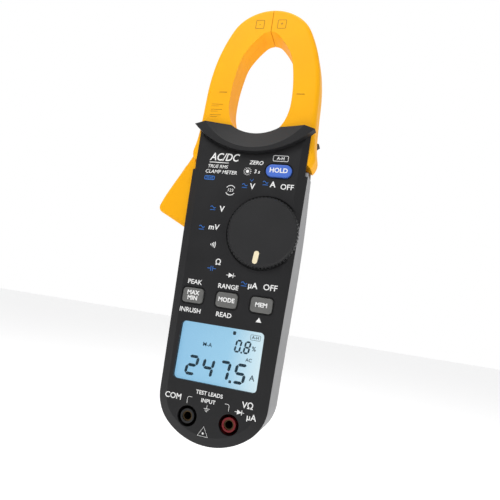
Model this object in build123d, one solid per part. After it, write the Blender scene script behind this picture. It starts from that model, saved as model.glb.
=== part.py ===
"""Clamp meter with two jaws, a squeeze trigger, a rotary selector, four buttons and two test sockets.

Millimetres. The origin is the centre of a conductor held at the jaws' centring marks. +Z points
to the jaw tips, the face looks to -Y and +X is the right side seen from the front.
"""
from build123d import *
import math
import os

# driving dimensions
FACE_Y = -9.7               # flat of the front cover
PARTING_Y = -7.0            # where the front and rear covers meet
BACK_Y = 25.3               # flat of the back
NECK_BACK_Y = 12.3          # back of the thin part of the case, under the jaws
WALL = 2.2
COVER_INSIDE_Y = -7.7
BEVEL = 5.0                 # width of the front cover's bevelled rim
CASE_TOP = -20.5
CASE_BOTTOM = -190.4
BACK_ROUND = 9.0

JAW_HALF = 7.5              # half of the jaws' thickness
SEAM_GAP = 0.15             # from each jaw face to the seam plane
JAW_ROUND = 2.6
CORE_HALF = 4.9
CORE_INSET = 2.5
PIVOT_X = 20.0
PIVOT_Z = -36.0
PIN_R = 2.0
FIT = 0.05                  # radial clearance of a turning fit
GAP = 0.3                   # clearance between pieces that move past each other
GEAR_MODULE = 1.25
JAW_SCREW_X = 29.5
JAW_SCREW_Z = -32.0
GEAR_FRONT_Y = 0.3
TRIGGER_FRONT_Y = -4.8

GUARD_CENTRE_Z = 0.7        # the guard's curves are struck from here
GUARD_Y = -12.7
DIP_R = 25.0
CREST_R = 34.6
GUARD_EDGE_R = 47.2
GUARD_EDGE_Z = 11.2
SLOT_END_Z = -45.2
REAR_GUARD_Y = 7.9
REAR_CREST_Y = 14.4

DIAL_X = 13.7
DIAL_Z = -79.3
DIAL_RECESS_R = 20.0
DIAL_RECESS_Y = -8.6
KNOB_R = 18.2
KNURL_R = 19.0
KNURL_COUNT = 60
KNOB_Y = -12.7
KNOB_BACK_Y = -8.9
POINTER_ANGLE = 265.0       # direction of the pointer, from +X towards +Z
ROTOR_R = 14.0

HOLD_X = 17.3
HOLD_Z = -45.3
HOLD_W = 14.1
HOLD_H = 6.9
KEY_Z = -116.6
KEY_PITCH = 18.7
KEY_W = 11.4
KEY_H = 7.8

LCD_W = 45.0
LCD_H = 29.8
LCD_Z = -145.1
BOARD_Y = -4.4
BOARD_BACK_Y = -2.8

SOCKET_X = 11.1
SOCKET_Z = -177.2
SOCKET_R = 5.2
SLEEVE_R = 3.6
PLUG_R = 2.0                # bore for a 4 mm test plug
CONTACT_R = 2.55

SCREWS = [(0, -53), (-21, -98), (21, -98), (-20.5, -167.5), (20.5, -167.5)]
SCREW_R = 1.1
BATTERY = (26.5, 17.5, 48.5)
BATTERY_TOP = -120.0
BATTERY_BACK_Y = 22.8
DOOR_W = 34.0
DOOR_TOP = -118.5
DOOR_BOTTOM = -176.0
DOOR_SCREW_Z = -172.3


# shapes used throughout
def prism(face, front_y, back_y):
    """A flat outline, drawn as (x, z), given depth from front_y back to back_y."""
    placed = Plane(origin=(0, front_y, 0), x_dir=(1, 0, 0), z_dir=(0, -1, 0)) * face
    return extrude(placed, amount=back_y - front_y, dir=(0, 1, 0))


def disc(x, z, radius, front_y, back_y):
    return prism(Pos(x, z) * Circle(radius), front_y, back_y)


def tube(x, z, outer, inner, front_y, back_y):
    return prism(Pos(x, z) * (Circle(outer) - Circle(inner)), front_y, back_y)


def cone(x, z, front_r, back_r, front_y, back_y):
    front = Plane(origin=(x, front_y, z), x_dir=(1, 0, 0), z_dir=(0, 1, 0)) * Circle(front_r)
    back = Plane(origin=(x, back_y, z), x_dir=(1, 0, 0), z_dir=(0, 1, 0)) * Circle(back_r)
    return loft([front, back])


def block(x0, x1, y0, y1, z0, z1):
    return Pos((x0 + x1) / 2, (y0 + y1) / 2, (z0 + z1) / 2) * Box(x1 - x0, y1 - y0, z1 - z0)


def rounded(x, z, width, height, radius):
    return Pos(x, z) * RectangleRounded(width, height, radius)


def polygon(*points):
    return make_face(Polyline(*points, close=True))


def mirrored(shape):
    return mirror(shape, about=Plane.YZ)


def arc_chain(start, direction, *points):
    """Arcs from point to point, each leaving in the direction in which the last one arrived."""
    arcs = []
    for point in points:
        arc = TangentArc(start, point, tangent=direction)
        arcs.append(arc)
        direction = arc % 1
        start = point
    return arcs


# the case
def case_outline(inset=0.0):
    """Front view of the case: nearly straight sides that narrow to a round bottom."""
    half = arc_chain(
        (33.0, CASE_TOP), (-0.01, -1), (31.4, -95), (29.3, -167), (21.8, -182.5), (0, CASE_BOTTOM),
    )
    top = Line((-33.0, CASE_TOP), (33.0, CASE_TOP))
    face = make_face(half + [mirrored(arc) for arc in half] + [top])
    if inset:
        face = offset(face, -inset, kind=Kind.INTERSECTION)
    return face


def side_profile(inset=0.0):
    """Side view, as (y, z): thin under the jaws and deep from the selector down."""
    neck = Line((NECK_BACK_Y - inset, CASE_TOP + 5), (NECK_BACK_Y - inset, -34))
    swell = Spline(
        (NECK_BACK_Y - inset, -34), (18.3 - inset, -60), (BACK_Y - inset, -112),
        tangents=((0, -1), (0, -1)),
    )
    back = Polyline(
        (BACK_Y - inset, -112), (BACK_Y - inset, CASE_BOTTOM - 5 + inset), (-20, CASE_BOTTOM - 5 + inset),
        (-20, CASE_TOP + 5), (NECK_BACK_Y - inset, CASE_TOP + 5),
    )
    return make_face([neck, swell, back])


def case_block(inset, radius):
    """The case's whole outer form behind the parting line, or with an inset its hollow."""
    body = prism(case_outline(inset), PARTING_Y, BACK_Y + 5)
    side = extrude(Plane.YZ.offset(-40) * side_profile(inset), amount=80)
    body = body & side
    back_edges = [edge for edge in body.edges() if edge.geom_type != GeomType.LINE and (edge @ 0.5).Y > 0]
    return fillet(back_edges, radius)


def guard_outline():
    """The flared collar at the top of the case, before its dip is cut."""
    edge = ThreePointArc((33.0, -22.5), (0, GUARD_EDGE_Z - GUARD_EDGE_R), (-33.0, -22.5))
    top = Polyline((-33.0, -22.5), (-33.8, -21.9), (-28, -20), (28, -20), (33.8, -21.9), (33.0, -22.5))
    return make_face([edge, top])


def dip(radius, front_y, back_y):
    return disc(0, GUARD_CENTRE_Z, radius, front_y, back_y)


def front_cover():
    flat = case_outline()
    rim = Plane(origin=(0, PARTING_Y, 0), x_dir=(1, 0, 0), z_dir=(0, -1, 0)) * flat
    depth = PARTING_Y - FACE_Y
    cover = extrude(rim, amount=depth, taper=math.degrees(math.atan(BEVEL / depth)))
    cover -= prism(case_outline(3.5), COVER_INSIDE_Y, PARTING_Y + 1)
    cover += prism(guard_outline(), GUARD_Y, COVER_INSIDE_Y - 0.1)
    cover -= block(-40, 40, COVER_INSIDE_Y - 0.1, 0, -46.5, 0)
    groove = Pos(0, GUARD_EDGE_Z) * (Circle(GUARD_EDGE_R + 1.3) - Circle(GUARD_EDGE_R))
    cover -= prism(groove, FACE_Y - 0.01, FACE_Y + 0.9) & block(-29, 29, -15, 0, -40, -22)
    cover -= cone(0, GUARD_CENTRE_Z, CREST_R + 0.24, DIP_R + 0.1, GUARD_Y - 0.1, COVER_INSIDE_Y - 1.0)
    cover -= dip(DIP_R, -20, 0)
    for x, z in SCREWS:
        cover += disc(x, z, 3.0, COVER_INSIDE_Y - 0.2, -0.9)
        cover -= disc(x, z, SCREW_R + FIT, -6.6, 0)
    for side in (-1, 1):
        cover -= disc(side * PIVOT_X, PIVOT_Z, PIN_R + 0.02, -9.1, 0)
    cover -= disc(DIAL_X, DIAL_Z, DIAL_RECESS_R, -20, DIAL_RECESS_Y)
    cover -= disc(DIAL_X, DIAL_Z, 4.0 + FIT, -20, 0)
    cover -= prism(rounded(HOLD_X, HOLD_Z, HOLD_W + 2 * GAP, HOLD_H + 2 * GAP, HOLD_H / 2 + GAP - 0.01), -20, 0)
    surround = rounded(HOLD_X, HOLD_Z, HOLD_W + 1.6, HOLD_H + 1.6, HOLD_H / 2 + 0.79)
    cover -= prism(surround, -20, FACE_Y + 0.5)
    for step in (-1, 0, 1):
        hole = rounded(step * KEY_PITCH, KEY_Z, KEY_W + 2 * GAP, KEY_H + 2 * GAP, 2.1)
        cover -= prism(hole, -20, 0)
        cover -= prism(rounded(step * KEY_PITCH, KEY_Z, KEY_W + 1.8, KEY_H + 1.8, 2.6), -20, FACE_Y + 0.4)
    cover -= prism(rounded(0, LCD_Z, LCD_W, LCD_H, 2.2), -20, 0)
    for side in (-1, 1):
        cover -= disc(side * SOCKET_X, SOCKET_Z, SOCKET_R, -20, 0)
    return cover


def rear_cover():
    shell = case_block(0, BACK_ROUND)
    hollow = case_block(WALL, BACK_ROUND - WALL)
    inside = hollow + block(-29, 29, PARTING_Y - 1, 7.9, -40, 0)
    cover = shell - inside
    cover -= prism(guard_outline(), 0, 30)
    cover -= block(-40, 40, 0, 30, -22.6, 0)
    cover -= dip(DIP_R, 0, 30)
    ramp = [(PARTING_Y - 1, -44.2), (PARTING_Y, -44.2), (PARTING_Y + 1, SLOT_END_Z), (7.9, SLOT_END_Z)]
    slope = polygon(*ramp, (7.9, 0), (PARTING_Y - 1, 0))
    cover -= extrude(Plane.YZ * slope, amount=40)
    cover -= block(-40, -26, PARTING_Y - 1, 7.9, -84.5, 0)
    for x, z in SCREWS:
        boss = disc(x, z, 3.6, -0.6, BACK_Y) & shell
        cover += boss
        seat_y = back_at(z) - 3.2
        cover -= disc(x, z, SCREW_R + 0.3, -2, BACK_Y + 1)
        cover -= disc(x, z, 3.0, seat_y, BACK_Y + 1)
    for side in (-1, 1):
        cover += disc(side * PIVOT_X, PIVOT_Z, 3.2, REAR_GUARD_Y, NECK_BACK_Y - 1)
        cover -= disc(side * PIVOT_X, PIVOT_Z, PIN_R + 0.02, 7, 11.1)
    width, depth, length = BATTERY
    bottom = BATTERY_TOP - length
    tray_y = BATTERY_BACK_Y - depth - 0.3
    outer = block(-width / 2 - 1.8, width / 2 + 1.8, tray_y - 1.5, BACK_Y - 1, bottom - 1.8, BATTERY_TOP + 1.8)
    inner = block(-width / 2 - 0.3, width / 2 + 0.3, tray_y, BACK_Y + 1, bottom - 0.3, BATTERY_TOP + 0.3)
    cover += outer
    door_hole = rounded(0, (DOOR_TOP + DOOR_BOTTOM) / 2, DOOR_W + 0.5, DOOR_TOP - DOOR_BOTTOM + 0.5, 3.2)
    cover -= prism(door_hole, BACK_Y - WALL - 0.1, BACK_Y + 1)
    cover -= inner
    door_boss = disc(0, DOOR_SCREW_Z, 3.0, 13.0, BACK_Y - WALL - 0.1)
    cover += door_boss
    cover += block(-1.0, 1.0, 13.0, BACK_Y - WALL - 0.1, DOOR_SCREW_Z, bottom - 1)
    cover -= disc(0, DOOR_SCREW_Z, SCREW_R + FIT, 14.0, BACK_Y)
    return cover


def back_at(z):
    """How far back the case reaches at a height."""
    line = Line((-60, z), (60, z))
    crossing = line & side_profile()
    return max(vertex.X for vertex in crossing.vertices())


def rear_guard():
    guard = prism(guard_outline(), REAR_GUARD_Y, REAR_CREST_Y)
    guard -= cone(0, GUARD_CENTRE_Z, DIP_R + 0.1, CREST_R, REAR_GUARD_Y + 1.0, REAR_CREST_Y + 0.1)
    guard -= dip(DIP_R, 0, 30)
    return guard


def case_screws():
    pieces = []
    for x, z in SCREWS:
        seat_y = back_at(z) - 3.2
        head = disc(x, z, 2.7, seat_y, seat_y + 2.0)
        slot = rounded(x, z, 3.4, 0.7, 0.3) + rounded(x, z, 0.7, 3.4, 0.3)
        head -= prism(slot, seat_y + 0.9, seat_y + 3)
        pieces.append(head + disc(x, z, SCREW_R, -6.0, seat_y))
    return Compound(pieces)


def battery_cover():
    panel = rounded(0, (DOOR_TOP + DOOR_BOTTOM) / 2, DOOR_W, DOOR_TOP - DOOR_BOTTOM, 3.0)
    door = prism(panel, BACK_Y - WALL, BACK_Y)
    door -= disc(0, DOOR_SCREW_Z, SCREW_R + 0.3, 0, BACK_Y + 1)
    door -= disc(0, DOOR_SCREW_Z, 2.7, BACK_Y - 1.5, BACK_Y + 1)
    for rib in range(5):
        z = DOOR_TOP - 6 - 2.2 * rib
        door -= prism(rounded(0, z, 16, 1.0, 0.49), BACK_Y - 0.6, BACK_Y + 1)
    return door


def battery_cover_screw():
    head = disc(0, DOOR_SCREW_Z, 2.4, BACK_Y - 1.5, BACK_Y - 0.2)
    slot = rounded(0, DOOR_SCREW_Z, 3.0, 0.6, 0.25) + rounded(0, DOOR_SCREW_Z, 0.6, 3.0, 0.25)
    head -= prism(slot, BACK_Y - 0.8, BACK_Y)
    return head + disc(0, DOOR_SCREW_Z, SCREW_R, 15.0, BACK_Y - 1.5)


# the jaws
def window_outline(grow=0.0):
    """The space between the closed jaws: pear shaped, round at the top."""
    half = arc_chain(
        (0, 37.5), (1, 0), (5.2, 35.3), (12.9, 25), (15.2, 19), (17.3, 6), (17.7, -6), (15.7, -15.5),
        (12.3, -20.8), (0, -26.3),
    )
    face = make_face(half + [mirrored(edge) for edge in half])
    if grow:
        face = offset(face, grow, kind=Kind.ARC)
    return face


def ring_outline(inset=0.0):
    """Both jaws' outer form, down to the line of the pivots."""
    side = arc_chain(
        (0, 52), (1, 0), (16.5, 46.5), (22.9, 38.9), (30.6, 16.5), (32.6, -3), (33.2, -22), (34.9, -34),
        (33.1, -41.2),
    )
    root = Polyline((33.1, -41.2), (27, -37.6), (15, -36.6), (13, -34.2), (0, -34.2))
    half = side + [root]
    face = make_face(half + [mirrored(edge) for edge in half])
    if inset:
        face = offset(face, -inset, kind=Kind.INTERSECTION)
    return face


def right_half(low=-60.0):
    return polygon((SEAM_GAP, 60), (60, 60), (60, low), (SEAM_GAP, low))


def ring_face(inset=0.0):
    return (ring_outline(inset) - window_outline(inset)) & right_half()


def core_face(spare=0.0):
    """The laminated core's path, with the short leg that closes it under the window."""
    leg = polygon((SEAM_GAP, -27.6 + spare), (13, -27.6 + spare), (20, -33 - spare), (SEAM_GAP, -33 - spare))
    above_pivot = polygon((SEAM_GAP, 60), (60, 60), (60, -14), (34, -17), (23, -33 - spare), (SEAM_GAP, -33 - spare))
    hub = Pos(PIVOT_X, PIVOT_Z) * Circle(6.2 - spare)
    return (ring_face(CORE_INSET - spare) & above_pivot) + leg - hub


def involute(radius, base):
    angle = math.acos(min(1.0, base / radius))
    return math.tan(angle) - angle


def gear_tooth(angle):
    """One tooth of the sector that faces the other jaw, at an angle above the line of the pivots."""
    pitch_r = PIVOT_X
    base_r = pitch_r * math.cos(math.radians(20))
    half_at_pitch = (math.pi * GEAR_MODULE / 2 - 0.4) / 2 / pitch_r
    flank = []
    for step in range(5):
        radius = base_r + (pitch_r + 1.1 - base_r) * step / 4
        half = half_at_pitch + involute(pitch_r, base_r) - involute(radius, base_r)
        flank.append((radius, half))
    flank.insert(0, (base_r - 0.9, flank[0][1]))
    outline = [(r, a) for r, a in flank] + [(r, -a) for r, a in reversed(flank)]
    centre = math.radians(angle)
    return polygon(*[
        (PIVOT_X - r * math.cos(centre + a), PIVOT_Z + r * math.sin(centre + a)) for r, a in outline
    ])


def gear_sector(angles):
    """The toothed root that makes the two jaws open together."""
    root_r = PIVOT_X * math.cos(math.radians(20)) - 0.4
    high = math.radians(max(angles) + 3)
    low = math.radians(min(angles) - 4)
    tip = [(PIVOT_X - root_r * math.cos(a), PIVOT_Z + root_r * math.sin(a)) for a in (high, (high + low) / 2, low)]
    arc = ThreePointArc(*tip)
    sector = make_face([Line((PIVOT_X + 4, PIVOT_Z), tip[0]), arc, Line(tip[2], (PIVOT_X + 4, PIVOT_Z))])
    sector += Pos(PIVOT_X, PIVOT_Z) * Circle(7.4)
    for angle in angles:
        sector += gear_tooth(angle)
    return sector


def rim_edges(solid, planes):
    """The edges that lie flat in the given front and back planes, but not the straight ones."""
    return [
        edge for edge in solid.edges()
        if edge.geom_type != GeomType.LINE and any(abs(edge.center().Y - y) < 0.01 for y in planes)
    ]


def jaw_body(teeth):
    """A whole right-hand jaw before it is split into its front and rear shells."""
    ring = prism(ring_outline() & right_half(), -JAW_HALF, JAW_HALF)
    ring = fillet(rim_edges(ring, (-JAW_HALF, JAW_HALF)), JAW_ROUND)
    ring -= prism(window_outline(), -10, 10)
    body = ring + disc(PIVOT_X, PIVOT_Z, 4.8, -JAW_HALF, JAW_HALF)
    body += prism(gear_sector(teeth), GEAR_FRONT_Y, JAW_HALF)
    return body


def trigger_face():
    """The squeeze trigger with its arm, on the left jaw."""
    outer = arc_chain(
        (-33.3, -29), (-0.1, -1), (-35.6, -37.2), (-46.6, -59.2), (-50.4, -67.9), (-48.6, -72.2), (-28.5, -81.9),
    )
    arm = Polyline((-28.5, -81.9), (-26.3, -80), (-25.6, -60), (-24, -44), (-20, -36), (-26, -29), (-33.3, -29))
    return make_face(outer + [arm])


def trigger_body():
    solid = prism(trigger_face(), TRIGGER_FRONT_Y, JAW_HALF)
    return fillet(rim_edges(solid, (TRIGGER_FRONT_Y, JAW_HALF)), 1.9)


def hollow_jaw(body):
    """Cut the room for core and coil, the pivot hole and the spring's pocket."""
    wide = ring_face(1.5) & polygon((4.5, 60), (60, 60), (60, -18), (4.5, -18))
    cavity = prism(wide, -JAW_HALF + 1.6, JAW_HALF - 1.6)
    cavity += prism(core_face(FIT), -CORE_HALF - FIT, CORE_HALF + FIT)
    body -= cavity
    body -= disc(PIVOT_X, PIVOT_Z, PIN_R + FIT, -10, 10)
    body -= tube(PIVOT_X, PIVOT_Z, 5.3, 3.3, -10, -4.0)
    body -= disc(JAW_SCREW_X, JAW_SCREW_Z, SCREW_R, -4, 10)
    body -= disc(JAW_SCREW_X, JAW_SCREW_Z, 2.0, JAW_HALF - 1.6, 10)
    return body


def jaw_halves(body):
    front = body & block(-60, 60, -10, -0.02, -90, 60)
    rear = body & block(-60, 60, 0.02, 10, -90, 60)
    return front, rear


def jaw_core():
    return prism(core_face(), -CORE_HALF, CORE_HALF)


def jaw_coil():
    """The pick-up winding, wound on the straight part of the core."""
    reach = polygon((4, 26), (60, 30), (60, -12), (4, -12))
    outside = prism(ring_face(1.7) & reach, -JAW_HALF + 1.8, JAW_HALF - 1.8)
    inside = prism(ring_face(CORE_INSET - FIT), -CORE_HALF - FIT, CORE_HALF + FIT)
    return outside - inside


def jaw_screw():
    head = disc(JAW_SCREW_X, JAW_SCREW_Z, 1.9, JAW_HALF - 1.5, JAW_HALF - 0.3)
    return head + disc(JAW_SCREW_X, JAW_SCREW_Z, 1.0, -3.5, JAW_HALF - 1.5)


def pivot_pin(side):
    return disc(side * PIVOT_X, PIVOT_Z, PIN_R, -9.0, 11.0)


def jaw_spring(side):
    """Return spring, coiled round the pivot hub in the jaw's pocket."""
    coil = Helix(pitch=0.95, height=2.4, radius=4.3)
    wire = sweep(Plane(origin=coil @ 0, z_dir=coil % 0) * Circle(0.4), path=coil)
    place = Plane(origin=(side * PIVOT_X, -7.0, PIVOT_Z), x_dir=(side, 0, 0), z_dir=(0, 1, 0))
    return place * wire


# the selector
def selector_knob():
    points = []
    for tooth in range(KNURL_COUNT):
        for share, radius in ((0.0, KNURL_R - 0.55), (0.25, KNURL_R), (0.6, KNURL_R), (0.85, KNURL_R - 0.55)):
            angle = 2 * math.pi * (tooth + share) / KNURL_COUNT
            points.append((radius * math.cos(angle), radius * math.sin(angle)))
    grip = prism(Pos(DIAL_X, DIAL_Z) * polygon(*points), KNOB_Y + 0.9, KNOB_BACK_Y)
    crown = cone(DIAL_X, DIAL_Z, KNOB_R - 0.6, KNOB_R + 0.2, KNOB_Y, KNOB_Y + 0.95)
    knob = grip + crown + disc(DIAL_X, DIAL_Z, 4.0, KNOB_BACK_Y, -7.4)
    knob -= pointer_prism(1.42, 6.94, KNOB_Y - 1, KNOB_Y + 0.6)
    return knob


def pointer_prism(half_width, length, front_y, back_y):
    """A rounded slot near the knob's rim, on the line that points at the chosen range."""
    slot = RectangleRounded(length, 2 * half_width, half_width - 0.01)
    turned = Pos(DIAL_X, DIAL_Z) * Rot(0, 0, POINTER_ANGLE) * Pos(13.6, 0) * slot
    return prism(turned, front_y, back_y)


def knob_pointer():
    return pointer_prism(1.37, 6.84, KNOB_Y + 0.1, KNOB_Y + 0.55)


def selector_rotor():
    """The disc behind the cover that carries the wipers, with detent notches round its rim."""
    rotor = disc(DIAL_X, DIAL_Z, ROTOR_R, -7.4, -6.2)
    for notch in range(16):
        angle = math.radians(22.5 * notch)
        place = (DIAL_X + (ROTOR_R + 0.5) * math.cos(angle), DIAL_Z + (ROTOR_R + 0.5) * math.sin(angle))
        rotor -= disc(place[0], place[1], 1.3, -8, -6)
    return rotor


def wiper_contacts():
    pieces = []
    for turn in range(3):
        for radius in (6.5, 11.5):
            bar = Pos(DIAL_X, DIAL_Z) * Rot(0, 0, 120 * turn + 30) * Pos(radius, 0) * Rectangle(3.6, 1.6)
            pieces.append(prism(bar, -6.2, -4.7))
    return Compound(pieces)


def detent_leaf():
    """A springy strip fixed inside the cover, beside the rotor's notches."""
    strip = Pos(DIAL_X, DIAL_Z) * Rot(0, 0, 150) * Pos(ROTOR_R + 0.8, 0) * Rectangle(0.5, 14)
    return prism(strip, -7.6, -6.3)


# buttons
def hold_button():
    cap = prism(rounded(HOLD_X, HOLD_Z, HOLD_W, HOLD_H, HOLD_H / 2 - 0.01), -10.8, COVER_INSIDE_Y + 0.2)
    crown = [edge for edge in cap.edges() if abs(edge.center().Y + 10.8) < 0.01]
    cap = fillet(crown, 0.7)
    return cap + prism(rounded(HOLD_X, HOLD_Z, HOLD_W + 1.4, HOLD_H + 1.0, 3.9), -7.5, -6.8)


def key(step):
    x = step * KEY_PITCH
    cap = prism(rounded(x, KEY_Z, KEY_W, KEY_H, 1.8), FACE_Y - 0.8, COVER_INSIDE_Y + 0.2)
    crown = [edge for edge in cap.edges() if abs(edge.center().Y - FACE_Y + 0.8) < 0.01]
    cap = fillet(crown, 0.5)
    return cap + prism(rounded(x, KEY_Z, KEY_W + 1.4, KEY_H + 1.4, 2.0), -7.5, -6.8)


def switch(x, z):
    return block(x - 3, x + 3, -5.8, BOARD_Y, z - 3, z + 3) + disc(x, z, 1.7, -6.0, -5.8)


def key_switches():
    return Compound([switch(step * KEY_PITCH, KEY_Z) for step in (-1, 0, 1)])


# display, board and power
def lcd_lens():
    lens = prism(rounded(0, LCD_Z, LCD_W - 0.1, LCD_H - 0.1, 2.15), FACE_Y + 0.35, COVER_INSIDE_Y)
    return lens + prism(rounded(0, LCD_Z, LCD_W + 3.0, LCD_H + 3.0, 2.5), COVER_INSIDE_Y, COVER_INSIDE_Y + 0.3)


def lcd_glass():
    return block(-24.2, 24.2, -7.3, -5.9, LCD_Z - 17, LCD_Z + 17)


def lcd_backlight():
    return block(-24.2, 24.2, -5.85, BOARD_Y, LCD_Z - 17, LCD_Z + 17)


def main_board():
    lower = case_outline(3.8) & polygon((-40, -92), (40, -92), (40, -200), (-40, -200))
    middle = polygon((-13, -92.5), (28, -92.5), (28, -47), (22, -47), (22, -42), (-13, -42))
    board = prism(lower + middle, BOARD_Y, BOARD_BACK_Y)
    for x, z in SCREWS:
        board -= disc(x, z, 3.9, -10, 0)
    for side in (-1, 1):
        board -= disc(side * SOCKET_X, SOCKET_Z, 6.5, -10, 0)
    return board


def board_chips():
    chips = [(4, -104, 12), (-14, -110, 8), (12, -60, 7)]
    return Compound([
        block(x - w / 2, x + w / 2, BOARD_BACK_Y, BOARD_BACK_Y + 1.4, z - w / 2, z + w / 2) for x, z, w in chips
    ])


def buzzer():
    return tube(18, -108, 5.5, 1.0, BOARD_BACK_Y, 1.6)


def battery():
    width, depth, length = BATTERY
    low = BATTERY_TOP - length
    body = block(-width / 2, width / 2, BATTERY_BACK_Y - depth, BATTERY_BACK_Y, low, BATTERY_TOP - 5)
    return fillet(body.edges().filter_by(Axis.Z), 1.6)


def battery_snap():
    """The press-stud connector across the end of the block battery."""
    width, depth, _ = BATTERY
    plate = block(-12, 12, BATTERY_BACK_Y - depth + 2, BATTERY_BACK_Y - 2, BATTERY_TOP - 2.4, BATTERY_TOP - 0.4)
    middle_y = BATTERY_BACK_Y - depth / 2
    for x in (-6.4, 6.4):
        plate += Pos(x, middle_y, BATTERY_TOP - 3.7) * Cylinder(3.4, 2.6)
    return plate


# test sockets
def socket(side):
    """A shrouded socket: a cup sunk behind the cover with a sleeve standing in it."""
    x = side * SOCKET_X
    cup = tube(x, SOCKET_Z, SOCKET_R + 0.9, SOCKET_R, COVER_INSIDE_Y, 7.0)
    floor = tube(x, SOCKET_Z, SOCKET_R + 0.9, CONTACT_R + FIT, 5.6, 7.6)
    sleeve = tube(x, SOCKET_Z, SLEEVE_R, CONTACT_R + FIT, FACE_Y + 0.3, 7.6)
    return cup + floor + sleeve


def contact(side):
    """The brass tube that a test plug slides into, closed at its inner end."""
    x = side * SOCKET_X
    return tube(x, SOCKET_Z, CONTACT_R, PLUG_R, FACE_Y + 0.9, 9.0) + disc(x, SOCKET_Z, CONTACT_R, 9.0, 10.0)


def save(name, shape):
    export_step(shape, os.path.join("parts", name + ".step"))


def main():
    os.makedirs("parts", exist_ok=True)
    left_teeth = (0.0, -11.25, -22.5)
    right_teeth = (-5.625, -16.875, -28.125)
    right_front, right_rear = jaw_halves(hollow_jaw(jaw_body(right_teeth)))
    trigger = mirrored(trigger_body()) - disc(PIVOT_X, PIVOT_Z, 5.4, -10, GEAR_FRONT_Y)
    left_front, left_rear = jaw_halves(mirrored(hollow_jaw(jaw_body(left_teeth) + trigger)))
    save("left_jaw_front", left_front)
    save("left_jaw_rear", left_rear)
    save("right_jaw_front", right_front)
    save("right_jaw_rear", right_rear)
    save("left_core", mirrored(jaw_core()))
    save("right_core", jaw_core())
    save("left_coil", mirrored(jaw_coil()))
    save("right_coil", jaw_coil())
    save("left_jaw_screw", mirrored(jaw_screw()))
    save("right_jaw_screw", jaw_screw())
    save("left_pivot_pin", pivot_pin(-1))
    save("right_pivot_pin", pivot_pin(1))
    save("left_jaw_spring", jaw_spring(-1))
    save("right_jaw_spring", jaw_spring(1))
    save("front_cover", front_cover())
    save("rear_cover", rear_cover())
    save("rear_guard", rear_guard())
    save("case_screws", case_screws())
    save("battery_cover", battery_cover())
    save("battery_cover_screw", battery_cover_screw())
    save("selector_knob", selector_knob())
    save("knob_pointer", knob_pointer())
    save("selector_rotor", selector_rotor())
    save("wiper_contacts", wiper_contacts())
    save("detent_leaf", detent_leaf())
    save("hold_button", hold_button())
    save("key_left", key(-1))
    save("key_middle", key(0))
    save("key_right", key(1))
    save("hold_switch", switch(HOLD_X, HOLD_Z))
    save("key_switches", key_switches())
    save("lcd_lens", lcd_lens())
    save("lcd_glass", lcd_glass())
    save("lcd_backlight", lcd_backlight())
    save("main_board", main_board())
    save("board_chips", board_chips())
    save("buzzer", buzzer())
    save("battery", battery())
    save("battery_snap", battery_snap())
    save("com_socket", socket(-1))
    save("input_socket", socket(1))
    save("com_contact", contact(-1))
    save("input_contact", contact(1))


main()
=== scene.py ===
"""Clamp meter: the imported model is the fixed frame, and this script adds its looks."""
import math

import bpy
from mathutils import Matrix, Vector


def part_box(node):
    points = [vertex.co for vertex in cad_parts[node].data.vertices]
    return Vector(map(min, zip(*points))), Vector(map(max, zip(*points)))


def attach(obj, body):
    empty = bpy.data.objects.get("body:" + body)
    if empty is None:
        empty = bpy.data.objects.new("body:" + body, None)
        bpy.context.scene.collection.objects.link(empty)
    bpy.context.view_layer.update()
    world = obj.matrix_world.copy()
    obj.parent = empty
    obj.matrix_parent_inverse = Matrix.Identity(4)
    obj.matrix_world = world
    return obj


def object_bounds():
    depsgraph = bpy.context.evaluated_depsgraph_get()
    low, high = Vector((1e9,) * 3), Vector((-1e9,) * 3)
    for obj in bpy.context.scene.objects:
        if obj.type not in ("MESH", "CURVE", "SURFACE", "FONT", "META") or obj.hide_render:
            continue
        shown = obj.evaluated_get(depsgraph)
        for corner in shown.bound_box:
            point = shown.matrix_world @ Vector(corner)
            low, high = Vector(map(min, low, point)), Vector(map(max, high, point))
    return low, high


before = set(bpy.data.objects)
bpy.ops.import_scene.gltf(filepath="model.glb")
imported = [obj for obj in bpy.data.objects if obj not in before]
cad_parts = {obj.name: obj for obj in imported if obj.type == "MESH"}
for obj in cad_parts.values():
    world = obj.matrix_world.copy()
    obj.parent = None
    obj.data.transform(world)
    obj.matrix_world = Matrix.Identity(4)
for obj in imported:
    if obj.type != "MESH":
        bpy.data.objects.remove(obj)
cad_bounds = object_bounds()

MM = 0.001

# ---- camera -------------------------------------------------------------------------------
# It looks at the meter from a little to its right and from below its middle, and is rolled,
# so that the meter leans to the right in the picture.
YAW = 0.265
PITCH = 0.138
ROLL = math.radians(8.84)
CAMERA_PLACE = (0.07077, -0.24018, -0.12216)
ahead = Vector((-math.sin(YAW) * math.cos(PITCH), math.cos(YAW) * math.cos(PITCH), math.sin(PITCH)))
level = Vector((math.cos(YAW), math.sin(YAW), 0.0))
above = level.cross(ahead)
right = math.cos(ROLL) * level + math.sin(ROLL) * above
up = math.cos(ROLL) * above - math.sin(ROLL) * level
bpy.ops.object.camera_add()
camera = bpy.context.object
camera.name = "camera"
camera.data.lens = 33.21
camera.data.sensor_width = 36.0
camera.data.clip_start = 0.01
turn = Matrix((right, up, -ahead)).transposed().to_4x4()
camera.matrix_world = Matrix.Translation(CAMERA_PLACE) @ turn
bpy.context.scene.camera = camera


# ---- studio -------------------------------------------------------------------------------
# A pale floor under the meter, which hangs with the jaws' window at the origin, a surround
# that is bright behind the meter and softer in front of it, and three large soft lights.
def deselect():
    bpy.ops.object.select_all(action="DESELECT")


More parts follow.
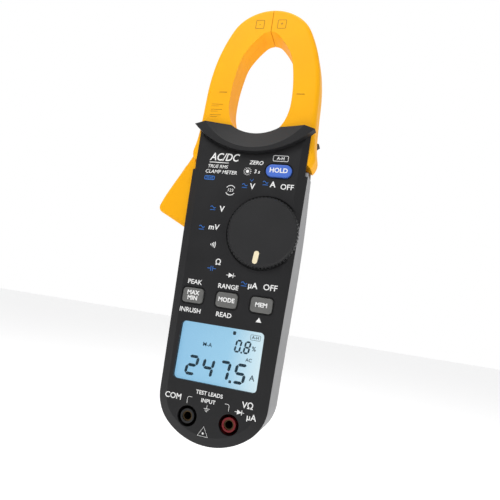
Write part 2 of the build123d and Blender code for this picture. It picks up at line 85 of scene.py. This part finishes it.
class Value:
    """A shader socket that can be used in sums: each operation adds its Math node."""

    def __init__(self, tree, socket):
        self.tree = tree
        self.socket = socket

    def math(self, operation, other):
        return node(self.tree, "ShaderNodeMath", {"operation": operation}, self, other)

    def __add__(self, other):
        return self.math("ADD", other)

    def __sub__(self, other):
        return self.math("SUBTRACT", other)

    def __rsub__(self, other):
        return node(self.tree, "ShaderNodeMath", {"operation": "SUBTRACT"}, other, self)

    def __mul__(self, other):
        return self.math("MULTIPLY", other)

    __radd__ = __add__
    __rmul__ = __mul__

    def feeds(self, shader, name):
        self.tree.links.new(self.socket, shader.inputs[name])


def node(tree, kind, settings=None, *inputs, output=0, **named):
    """Add a node: its settings first, then its sockets by order or by name."""
    made = tree.nodes.new(kind)
    for key, value in (settings or {}).items():
        if key == "stops":
            elements = made.color_ramp.elements
            while len(elements) < len(value):
                elements.new(0.5)
            for element, (place, colour) in zip(elements, value):
                element.position = place
                element.color = colour
        else:
            setattr(made, key, value)
    pairs = list(zip(made.inputs, inputs))
    pairs += [(made.inputs[key.replace("_", " ")], value) for key, value in named.items()]
    for socket, value in pairs:
        if isinstance(value, Value):
            tree.links.new(value.socket, socket)
        else:
            socket.default_value = value
    return Value(tree, made.outputs[output])


def new_paint(name):
    """A new material with its node tree and its shader."""
    paint = bpy.data.materials.new(name)
    paint.use_nodes = True
    return paint, paint.node_tree, paint.node_tree.nodes["Principled BSDF"]


FLOOR_DROP = 0.06           # from the meter's lowest point to the floor
deselect()
bpy.ops.mesh.primitive_plane_add(size=8.0, location=(0, 0, cad_bounds[0][2] - FLOOR_DROP))
floor = bpy.context.object
floor.name = "floor"
floor_paint, tree, shader = new_paint("pale_floor")
shader.inputs["Base Color"].default_value = (0.9, 0.9, 0.9, 1)
shader.inputs["Roughness"].default_value = 0.9
shader.inputs["Emission Color"].default_value = (1, 1, 1, 1)
shader.inputs["Emission Strength"].default_value = 0.35
floor.data.materials.append(floor_paint)

world = bpy.data.worlds.new("studio")
world.use_nodes = True
tree = world.node_tree
direction = node(tree, "ShaderNodeTexCoord")
depth = node(tree, "ShaderNodeSeparateXYZ", None, direction, output=1)
sky_stops = ((0.0, (0.34, 0.34, 0.345, 1)), (0.4, (1, 1, 1, 1)))
sky = node(tree, "ShaderNodeValToRGB", {"stops": sky_stops}, depth)
sky.feeds(tree.nodes["Background"], "Color")
bpy.context.scene.world = world
bpy.context.scene.view_settings.view_transform = "Standard"


def soft_light(name, place, target, size, watts):
    """A square area light of a given size, aimed at a point."""
    aim = (Vector(target) - Vector(place)).to_track_quat("-Z", "Y").to_euler()
    bpy.ops.object.light_add(type="AREA", location=place, rotation=aim)
    lamp = bpy.context.object
    lamp.name = name
    lamp.data.size = size
    lamp.data.energy = watts


soft_light("key_light", (-0.20, -0.40, 0.48), (0, 0, 0.01), 0.30, 2.5)
soft_light("side_light", (0.8, -0.25, 0.1), (0, 0, -0.08), 0.4, 0.6)
soft_light("top_light", (0.0, 0.05, 0.7), (0, 0, 0), 0.4, 1.6)


# ---- jaws ---------------------------------------------------------------------------------
# Two hinged jaws of satin yellow-orange plastic, each moulded as a front and a rear shell that
# meet at a fine line round the edge. The squeeze trigger is part of the left one.
def shade(colour, factor):
    """A colour made lighter or darker."""
    return tuple(min(1.0, channel * factor) for channel in colour[:3]) + (1.0,)


def moulded(name, colour, roughness, grain=0.35, grain_size=0.35, mottle=0.06, coat=0.0, sheen=0.3):
    """Moulded plastic: a spark-eroded grain, faint mottling and a slightly uneven gloss."""
    paint, tree, shader = new_paint(name)
    place = node(tree, "ShaderNodeTexCoord", output=3)
    cloud = node(tree, "ShaderNodeTexNoise", None, Vector=place, Scale=60.0, Detail=3.0)
    pitch = 1.0 / (grain_size * MM)
    grit = node(tree, "ShaderNodeTexNoise", None, Vector=place, Scale=pitch, Detail=2.0)
    stops = ((0.3, shade(colour, 1 - mottle)), (0.7, shade(colour, 1 + mottle)))
    node(tree, "ShaderNodeValToRGB", {"stops": stops}, cloud).feeds(shader, "Base Color")
    (cloud * 0.1 + grit * 0.12 + (roughness - 0.11)).feeds(shader, "Roughness")
    bump = node(tree, "ShaderNodeBump", None, Strength=grain, Distance=0.05 * MM, Height=grit)
    bump.feeds(shader, "Normal")
    shader.inputs["Specular IOR Level"].default_value = sheen
    shader.inputs["Coat Weight"].default_value = coat
    shader.inputs["Coat Roughness"].default_value = 0.25
    return paint


def finish_nodes(paint, *sources):
    """Give frame pieces that keep their own shape their finish."""
    for source in sources:
        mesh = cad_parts[source].data
        mesh.materials.clear()
        mesh.materials.append(paint)


JAW_COLOUR = (1.0, 0.455, 0.006, 1)
jaw_paint = moulded("jaw_plastic", JAW_COLOUR, 0.5, grain=0.22, mottle=0.03, sheen=0.12)
finish_nodes(jaw_paint, "left_jaw_front", "left_jaw_rear", "right_jaw_front", "right_jaw_rear")


# ---- jaw marks ----------------------------------------------------------------------------
# Fine dark lines on both jaws show where a conductor is centred, and two small squares beside
# the seam show which way the current runs. Short rows of lines stand by the left hinge.
INK = 0.05 * MM             # how far a mark or ink stands proud, and as far below the surface
CAP_SHARE = 0.7             # a capital's height as a share of the type size


def place_on_front(piece, x, face_y, z):
    """Make a flat text or curve a mesh, and stand it on a plane that faces the front."""
    deselect()
    piece.select_set(True)
    bpy.context.view_layer.objects.active = piece
    bpy.ops.object.convert(target="MESH")
    piece.rotation_euler = (math.pi / 2, 0, 0)
    piece.location = (x * MM, face_y, z * MM)
    bpy.ops.object.transform_apply(location=True, rotation=True, scale=True)
    return piece


def lettering(words, x, z, height, face_y, slant=0.0, weight=0.035, width=None):
    """Words centred on (x, z), in millimetres, with capitals of the given height."""
    deselect()
    bpy.ops.object.text_add()
    text = bpy.context.object
    text.data.body = words
    text.data.align_x = "CENTER"
    text.data.align_y = "CENTER"
    text.data.size = height / CAP_SHARE * MM
    text.data.shear = slant
    text.data.offset = weight * MM
    text.data.extrude = INK
    text.data.resolution_u = 3
    if width:
        bpy.context.view_layer.update()
        text.scale.x = width * MM / text.dimensions.x
    return place_on_front(text, x, face_y, z)


def outline(points, closed, settings):
    """A flat curve with straight runs, through points given as (x, z) in millimetres."""
    data = bpy.data.curves.new("outline", "CURVE")
    line = data.splines.new("POLY")
    line.points.add(len(points) - 1)
    for point, (x, z) in zip(line.points, points):
        point.co = (x * MM, z * MM, 0, 1)
    line.use_cyclic_u = closed
    for key, value in settings.items():
        setattr(data, key, value)
    piece = bpy.data.objects.new("outline", data)
    bpy.context.scene.collection.objects.link(piece)
    return piece


def stroke(points, face_y, thick=0.3, closed=False):
    """A printed line of a given thickness."""
    radius = thick / 2 * MM
    settings = {"dimensions": "3D", "bevel_depth": radius, "bevel_resolution": 1, "use_fill_caps": True}
    piece = outline(points, closed, settings)
    piece.scale.z = INK / radius
    return place_on_front(piece, 0, face_y, 0)


def filled(points, face_y):
    """A printed solid shape."""
    piece = outline(points, True, {"dimensions": "2D", "fill_mode": "BOTH", "extrude": INK})
    return place_on_front(piece, 0, face_y, 0)


def arc_points(x, z, radius, start, end, steps=14):
    """Points along an arc, with angles in degrees from +X towards +Z."""
    angles = [math.radians(start + (end - start) * step / steps) for step in range(steps + 1)]
    return [(x + radius * math.cos(angle), z + radius * math.sin(angle)) for angle in angles]


def box_points(x, z, width, height, corner=0.6):
    """A rectangle with round corners."""
    points = []
    for side_x, side_z, start in ((1, 1, 0), (-1, 1, 90), (-1, -1, 180), (1, -1, 270)):
        corner_x = x + side_x * (width / 2 - corner)
        corner_z = z + side_z * (height / 2 - corner)
        points += arc_points(corner_x, corner_z, corner, start, start + 90, 3)
    return points


def join_marks(pieces, name, body, paint):
    """Join marks into one piece, close their seams and turn their faces outwards."""
    deselect()
    for piece in pieces:
        piece.select_set(True)
    joined = pieces[0]
    bpy.context.view_layer.objects.active = joined
    if len(pieces) > 1:
        bpy.ops.object.join()
    bpy.ops.object.mode_set(mode="EDIT")
    bpy.ops.mesh.select_all(action="SELECT")
    bpy.ops.mesh.remove_doubles(threshold=0.001 * MM)
    bpy.ops.mesh.normals_make_consistent(inside=False)
    bpy.ops.object.mode_set(mode="OBJECT")
    joined.name = name
    joined.data.materials.clear()
    joined.data.materials.append(paint)
    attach(joined, body)


MARK_X = (20.1, 24.6)       # the centre lines run between these, on both jaws
SQUARE_Z = 42.2
PRINT_LEFT = -28.0
PRINT_TOP = -7.4
PRINT_PITCH = 3.2
mark_paint = moulded("jaw_mark", shade(JAW_COLOUR, 0.42), 0.5, grain=0.1)
for side, sign, square_x, polarity in (("left", -1, -7.0, "-"), ("right", 1, 5.8, "+")):
    face_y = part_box(side + "_jaw_front")[0].y
    marks = [
        stroke([(sign * x, 0) for x in MARK_X], face_y, 0.5),
        stroke(box_points(square_x, SQUARE_Z, 4.8, 5.2, 0.4), face_y, 0.4, closed=True),
        lettering(polarity, square_x, SQUARE_Z, 2.2, face_y, weight=0.06),
    ]
    if side == "left":
        for row in range(3):
            z = PRINT_TOP - PRINT_PITCH * row
            marks.append(stroke([(PRINT_LEFT, z), (-21.4, z)], face_y, 0.28))
            marks.append(stroke([(PRINT_LEFT, z - 1.1), (-23.6, z - 1.1)], face_y, 0.28))
    join_marks(marks, side + "_jaw_marks", side + "_jaw", mark_paint)


# ---- case ---------------------------------------------------------------------------------
# A black front cover with a rounded rim and a grey rear shell, both matte mouldings that meet
# at the parting line round the side. The finger guards are black, the battery door is grey.
CASE_BLACK = (0.016, 0.016, 0.017, 1)
black_paint = moulded("black_case_plastic", CASE_BLACK, 0.5, grain=0.5, mottle=0.1, sheen=0.22)
grey_paint = moulded("grey_case_plastic", (0.27, 0.27, 0.275, 1), 0.5, grain=0.4)
finish_nodes(black_paint, "front_cover", "rear_guard")
finish_nodes(grey_paint, "rear_cover", "battery_cover")


# ---- selector -----------------------------------------------------------------------------
# A flat black knob with a knurled rim, that is turned to choose a range. A slot near its rim
# is filled with cream paint and points at that range.
KNOB_BLACK = (0.022, 0.022, 0.023, 1)
knob_paint = moulded("knob_plastic", KNOB_BLACK, 0.5, grain=0.55, grain_size=0.25, sheen=0.25)
cream_paint = moulded("pointer_paint", (0.93, 0.82, 0.56, 1), 0.4, grain=0.05)
finish_nodes(knob_paint, "selector_knob")
finish_nodes(cream_paint, "knob_pointer")


# ---- buttons ------------------------------------------------------------------------------
# A blue pill-shaped hold button and three grey keys, each with its word printed in white.
blue_paint = moulded("hold_plastic", (0.068, 0.165, 0.62, 1), 0.38, grain=0.15, coat=0.15)
key_paint = moulded("key_plastic", (0.14, 0.14, 0.135, 1), 0.5, grain=0.3)
white_ink = moulded("white_ink", (0.88, 0.88, 0.87, 1), 0.45, grain=0.05, mottle=0.03)
finish_nodes(blue_paint, "hold_button")
finish_nodes(key_paint, "key_left", "key_middle", "key_right")
ROW_PITCH = 2.8             # between the two rows of words on a key
# node, body, slot, height of the capitals, words
BUTTONS = (
    ("key_left", "key_1", "key_grey", 2.2, ("MAX", "MIN")),
    ("key_middle", "key_2", "key_grey", 2.2, ("MODE",)),
    ("key_right", "key_3", "key_grey", 2.2, ("MEM",)),
    ("hold_button", "hold", "button_blue", 2.5, ("HOLD",)),
)
for source, body, slot, height, words in BUTTONS:
    low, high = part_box(source)
    x = (low.x + high.x) / 2 / MM
    top_row = (low.z + high.z) / 2 / MM + (len(words) - 1) * ROW_PITCH / 2
    rows = []
    for row, word in enumerate(words):
        rows.append(lettering(word, x, top_row - ROW_PITCH * row, height, low.y, weight=0.09))
    join_marks(rows, source + "_word", body, white_ink)


# ---- printed legends ----------------------------------------------------------------------
# White and blue ink on the front cover: the ranges round the selector, what the keys do, and
# the sockets' names. The ink is a thin layer that stands just proud of the plastic.
LENS_SUNK = 0.35 * MM       # how far the display's window lies behind the cover's face
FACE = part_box("lcd_lens")[0].y - LENS_SUNK
blue_ink = moulded("blue_ink", (0.03, 0.15, 0.50, 1), 0.45, grain=0.05, mottle=0.03)
# words, x, z, height, slant, weight
WORDS = (
    ("OFF", 22.9, -53.8, 2.9, 0.0, 0.05),
    ("A", 15.1, -52.9, 3.1, 0.0, 0.09),
    ("V", 4.1, -54.8, 3.1, 0.0, 0.09),
    ("V", -10.8, -68.7, 3.1, 0.0, 0.09),
    ("mV", -13.8, -79.0, 3.0, 0.1, 0.07),
    ("Ω", -8.0, -97.5, 3.0, 0.0, 0.05),
    ("µA", 12.5, -107.4, 3.0, 0.0, 0.07),
    ("OFF", 21.9, -107.3, 3.0, 0.0, 0.05),
    ("PEAK", -19.1, -109.5, 2.4, 0.0, 0.05),
    ("RANGE", -0.4, -109.7, 2.4, 0.0, 0.05),
    ("INRUSH", -19.1, -124.5, 2.4, 0.0, 0.05),
    ("READ", -0.4, -124.4, 2.4, 0.0, 0.05),
    ("COM", -20.3, -168.8, 2.8, 0.0, 0.05),
    ("VΩ", 19.3, -166.4, 3.0, 0.0, 0.06),
    ("µA", 21.9, -171.6, 2.9, 0.0, 0.06),
    ("TEST LEADS", -1.2, -164.6, 1.9, 0.0, 0.05),
    ("INPUT", -1.2, -168.2, 1.9, 0.0, 0.05),
    ("ZERO", 4.3, -41.5, 2.1, 0.15, 0.05),
    ("TRUE RMS", -17.3, -45.0, 1.8, 0.15, 0.02),
    ("CLAMP METER", -14.9, -48.0, 2.0, 0.15, 0.02),
    ("123", -7.8, -57.8, 1.7, 0.0, 0.0),
    ("3 s", 5.4, -46.4, 2.0, 0.1, 0.06),
    ("A-H", 17.3, -38.2, 1.7, 0.0, 0.04),
)
white = []
for words, x, z, height, slant, weight in WORDS:
    white.append(lettering(words, x, z, height, FACE, slant, weight))
white.append(lettering("AC/DC", -14.2, -39.6, 4.2, FACE, slant=0.2, weight=0.1, width=17.0))
white.append(stroke([(-22.4, -42.6), (-11.2, -42.6)], FACE, 0.5))
white.append(stroke(box_points(17.3, -38.2, 8.2, 3.1), FACE, 0.3, closed=True))
# the arrowhead under the right key
white.append(filled([(16.9, -125.3), (19.9, -125.3), (18.4, -122.9)], FACE))
# the sun that marks the display's light: a disc and its rays
SUN_X = 0.1
SUN_Z = -46.5
white.append(filled(arc_points(SUN_X, SUN_Z, 0.9, 0, 337.5, 15), FACE))
for ray in range(12):
    angle = math.radians(30 * ray)
    ends = [(SUN_X + reach * math.cos(angle), SUN_Z + reach * math.sin(angle)) for reach in (1.5, 2.3)]
    white.append(stroke(ends, FACE, 0.32))
# the ring of phase rotation and the waves of the continuity buzzer
for start in (30, 210):
    white.append(stroke(arc_points(-7.8, -57.8, 2.7, start, start + 120), FACE, 0.42))
for wave in range(4):
    white.append(stroke(arc_points(-14.4, -88.4, 0.7 + 0.85 * wave, -30, 30, 6), FACE, 0.45))
# two diodes: an arrowhead against a bar, on a short line
for x, z, size in ((0.1, -103.5, 1.0), (15.6, -170.2, 0.95)):
    tip = 1.25 * size
    white.append(filled([(x - tip, z + tip), (x - tip, z - tip), (x + tip, z)], FACE))
    white.append(stroke([(x + tip, z + tip), (x + tip, z - tip)], FACE, 0.4))
    white.append(stroke([(x - 2.6 * size, z), (x + 2.6 * size, z)], FACE, 0.32))
# between the sockets: an earth sign, brackets that lead to the sockets, and a plain triangle
EARTH_X = -1.4
EARTH_Z = -171.8
white.append(stroke([(EARTH_X, EARTH_Z + 1.9), (EARTH_X, EARTH_Z)], FACE, 0.25))
for row, half in enumerate((1.6, 1.05, 0.5)):
    z = EARTH_Z - 0.7 * row
    white.append(stroke([(EARTH_X - half, z), (EARTH_X + half, z)], FACE, 0.25))
for direction in (-1, 1):
    x = -1.2 + 11.2 * direction
    bend = [(x - 2.4 * direction, -167.6), (x - 0.6 * direction, -167.6), (x, -168.2), (x, -170.9)]
    white.append(stroke(bend, FACE, 0.25))
white.append(stroke([(-4.1, -185.2), (1.3, -185.2), (EARTH_X, -180.6)], FACE, 0.32, closed=True))
white.append(filled(arc_points(EARTH_X, -183.8, 0.5, 0, 330, 11), FACE))
join_marks(white, "white_legends", "case", white_ink)

# the signs for alternating and direct current: a wave over a line
HALF_WAVE = 1.5
WAVE_RISE = 0.55
WAVE_STEPS = [step / 10 for step in range(-10, 11)]
blue = []
for x, z in ((11.0, -52.6), (-0.2, -54.9), (-16.0, -68.7), (-20.5, -80.0), (7.8, -107.3)):
    middle = z + 0.8
    wave = [(x + HALF_WAVE * step, middle - WAVE_RISE * math.sin(math.pi * step)) for step in WAVE_STEPS]
    blue.append(stroke(wave, FACE, 0.42))
    blue.append(stroke([(x - HALF_WAVE, z - 0.7), (x + HALF_WAVE, z - 0.7)], FACE, 0.42))
blue.append(stroke([(2.2, -50.8), (3.2, -51.9), (4.2, -50.6)], FACE, 0.36))
# a capacitor, and the frame of the frequency mark
CAPACITOR_Z = -101.1
for direction in (-1, 1):
    plate = -11.0 + 0.5 * direction
    blue.append(stroke([(plate, CAPACITOR_Z), (plate + 1.9 * direction, CAPACITOR_Z)], FACE, 0.4))
    blue.append(stroke([(plate, CAPACITOR_Z + 1.3), (plate, CAPACITOR_Z - 1.3)], FACE, 0.45))
blue.append(stroke(box_points(-20.9, -51.6, 5.6, 1.9, 0.5), FACE, 0.5, closed=True))
blue.append(lettering("50-60", -20.9, -51.6, 1.2, FACE))
join_marks(blue, "blue_legends", "case", blue_ink)


# ---- display ------------------------------------------------------------------------------
# A liquid crystal display lit pale blue from behind, brightest at the right, under a clear
# window. Its figures are slanted seven-segment digits, dark against the light.
low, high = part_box("lcd_glass")
SCREEN_X = (low.x + high.x) / 2
SCREEN_W = 45.0 * MM
SCREEN_Y = low.y - 0.02 * MM     # the figures lie on the glass
LEFT_GLOW = (0.28, 0.58, 0.84, 1)
MIDDLE_GLOW = (0.33, 0.64, 0.87, 1)
RIGHT_GLOW = (0.74, 0.92, 0.98, 1)
lit_paint, tree, shader = new_paint("lit_display")
place = node(tree, "ShaderNodeTexCoord", output=3)
across = (node(tree, "ShaderNodeSeparateXYZ", None, place) - SCREEN_X) * (1 / SCREEN_W) + 0.5
glow_stops = ((0.0, LEFT_GLOW), (0.6, MIDDLE_GLOW), (1.0, RIGHT_GLOW))
node(tree, "ShaderNodeValToRGB", {"stops": glow_stops}, across).feeds(shader, "Emission Color")
shader.inputs["Base Color"].default_value = (0.05, 0.08, 0.10, 1)
shader.inputs["Emission Strength"].default_value = 0.95
shader.inputs["Roughness"].default_value = 0.35
finish_nodes(lit_paint, "lcd_glass")

window_paint, tree, shader = new_paint("display_window")
shader.inputs["Base Color"].default_value = (0.02, 0.025, 0.03, 1)
shader.inputs["Roughness"].default_value = 0.08
shader.inputs["Alpha"].default_value = 0.07
finish_nodes(window_paint, "lcd_lens")

SEGMENTS = {"0": "abcdef", "2": "abged", "4": "fgbc", "5": "afgcd", "7": "abc", "8": "abcdefg"}
SLANT = 0.13
NOTCH = 0.1                 # how far a bar stands off its neighbour, as a share of its width


def digit(figure, x, z, width, height, bar):
    """One seven-segment figure, as slanted bars with pointed ends."""
    half_w = (width - bar) / 2
    half_h = (height - bar) / 2
    flat_bars = {"a": half_h, "g": 0.0, "d": -half_h}
    upright_bars = {"f": (-1, 1), "b": (1, 1), "e": (-1, -1), "c": (1, -1)}
    bars = []
    for name in SEGMENTS[figure]:
        if name in flat_bars:
            z0 = flat_bars[name]
            end = half_w - bar * NOTCH
            inner = end - bar / 2
            shape = [(-end, z0), (-inner, z0 + bar / 2), (inner, z0 + bar / 2)]
            shape += [(end, z0), (inner, z0 - bar / 2), (-inner, z0 - bar / 2)]
        else:
            side_x, side_z = upright_bars[name]
            x0 = side_x * half_w
            near = side_z * bar * NOTCH
            far = side_z * (half_h - bar * NOTCH)
            point = side_z * bar / 2
            shape = [(x0, near), (x0 + bar / 2, near + point), (x0 + bar / 2, far - point)]
            shape += [(x0, far), (x0 - bar / 2, far - point), (x0 - bar / 2, near + point)]
        bars.append(filled([(x + px + SLANT * pz, z + pz) for px, pz in shape], SCREEN_Y))
    return bars


FIGURE_PITCH = 8.75
figures = []
for number, figure in enumerate("2475"):
    figures += digit(figure, -13.9 + FIGURE_PITCH * number, -152.3, 6.4, 10.4, 1.5)
figures += digit("0", 9.2, -138.8, 3.4, 6.6, 0.95) + digit("8", 14.0, -138.8, 3.4, 6.6, 0.95)
figures.append(filled(box_points(7.7, -157.0, 1.4, 1.4, 0.3), SCREEN_Y))
figures.append(filled(box_points(11.3, -141.7, 0.9, 0.9, 0.2), SCREEN_Y))
figures.append(filled(box_points(6.3, -132.6, 1.6, 1.8, 0.3), SCREEN_Y))
figures.append(stroke(box_points(17.6, -133.3, 5.2, 2.6, 0.4), SCREEN_Y, 0.2, closed=True))
# words, x, z, height
NOTES = (
    ("%", 17.6, -139.0, 2.3),
    ("AC", 15.8, -144.9, 1.7),
    ("A", 18.8, -153.4, 2.8),
    ("M-A", -7.3, -140.8, 2.0),
    ("A-H", 17.6, -133.3, 1.5),
)
for words, x, z, height in NOTES:
    figures.append(lettering(words, x, z, height, SCREEN_Y, weight=0.04))
digit_ink = moulded("display_ink", (0.006, 0.035, 0.06, 1), 0.35, grain=0.05, mottle=0.03)
join_marks(figures, "display_figures", "case", digit_ink)


# ---- sockets ------------------------------------------------------------------------------
# Two shrouded test sockets, black for common and red for the input, with tarnished brass
# contacts deep inside.
black_socket = moulded("black_socket_plastic", (0.012, 0.012, 0.013, 1), 0.3, grain=0.1)
red_socket = moulded("red_socket_plastic", (0.16, 0.004, 0.007, 1), 0.34, grain=0.1)
finish_nodes(black_socket, "com_socket")
finish_nodes(red_socket, "input_socket")


def metal(name, colour, roughness, scale=400.0):
    """Bare metal with fine drawn lines and an uneven polish."""
    paint, tree, shader = new_paint(name)
    place = node(tree, "ShaderNodeTexCoord", output=3)
    drawn = node(tree, "ShaderNodeMapping", None, Vector=place, Scale=(1.0, 6.0, 1.0))
    lines = node(tree, "ShaderNodeTexNoise", None, Vector=drawn, Scale=scale, Detail=4.0)
    stops = ((0.3, shade(colour, 0.8)), (0.7, shade(colour, 1.1)))
    node(tree, "ShaderNodeValToRGB", {"stops": stops}, lines).feeds(shader, "Base Color")
    (lines * 0.25 + (roughness - 0.12)).feeds(shader, "Roughness")
    bump = node(tree, "ShaderNodeBump", None, Strength=0.2, Distance=0.03 * MM, Height=lines)
    bump.feeds(shader, "Normal")
    shader.inputs["Metallic"].default_value = 1.0
    return paint


finish_nodes(metal("tarnished_brass", (0.09, 0.06, 0.03, 1), 0.5), "com_contact", "input_contact")


# ---- screws, pins and springs -------------------------------------------------------------
# Zinc-plated steel screws hold the case, the jaws' shells and the battery door. The jaws turn
# on steel pins and steel springs close them.
steel = metal("zinc_steel", (0.55, 0.55, 0.56, 1), 0.35)
finish_nodes(steel, "case_screws", "battery_cover_screw", "left_jaw_screw", "right_jaw_screw")
finish_nodes(steel, "left_pivot_pin", "right_pivot_pin", "left_jaw_spring", "right_jaw_spring")


# ---- inside the jaws ----------------------------------------------------------------------
# Each jaw holds half of a laminated iron ring, which shows at the tips when the jaws are open,
# and a coil of enamelled copper wire wound round it.
iron = metal("laminated_iron", (0.35, 0.35, 0.36, 1), 0.45, 900.0)
copper = metal("enamelled_copper", (0.72, 0.27, 0.10, 1), 0.35, 1200.0)
finish_nodes(iron, "left_core", "right_core")
finish_nodes(copper, "left_coil", "right_coil")


# ---- inside the case ----------------------------------------------------------------------
# A green circuit board with resin chips, a buzzer and dome switches, the selector's white
# rotor with brass wipers, the display's light guide, and a nine-volt block with its snap.
board_green = moulded("circuit_board_green", (0.015, 0.16, 0.06, 1), 0.35, grain=0.1)
chip_resin = moulded("chip_resin", (0.025, 0.025, 0.025, 1), 0.5)
switch_resin = moulded("switch_resin", (0.03, 0.03, 0.03, 1), 0.35)
rotor_white = moulded("rotor_plastic", (0.78, 0.77, 0.72, 1), 0.4)
guide_plastic = moulded("light_guide_plastic", (0.8, 0.88, 0.95, 1), 0.25)
battery_wrap = moulded("battery_wrap", (0.10, 0.10, 0.12, 1), 0.3)
brass = metal("spring_brass", (0.60, 0.42, 0.18, 1), 0.4)
finish_nodes(board_green, "main_board")
finish_nodes(chip_resin, "board_chips", "buzzer", "battery_snap")
finish_nodes(switch_resin, "hold_switch", "key_switches")
finish_nodes(rotor_white, "selector_rotor")
finish_nodes(guide_plastic, "lcd_backlight")
finish_nodes(battery_wrap, "battery")
finish_nodes(brass, "wiper_contacts", "detent_leaf")
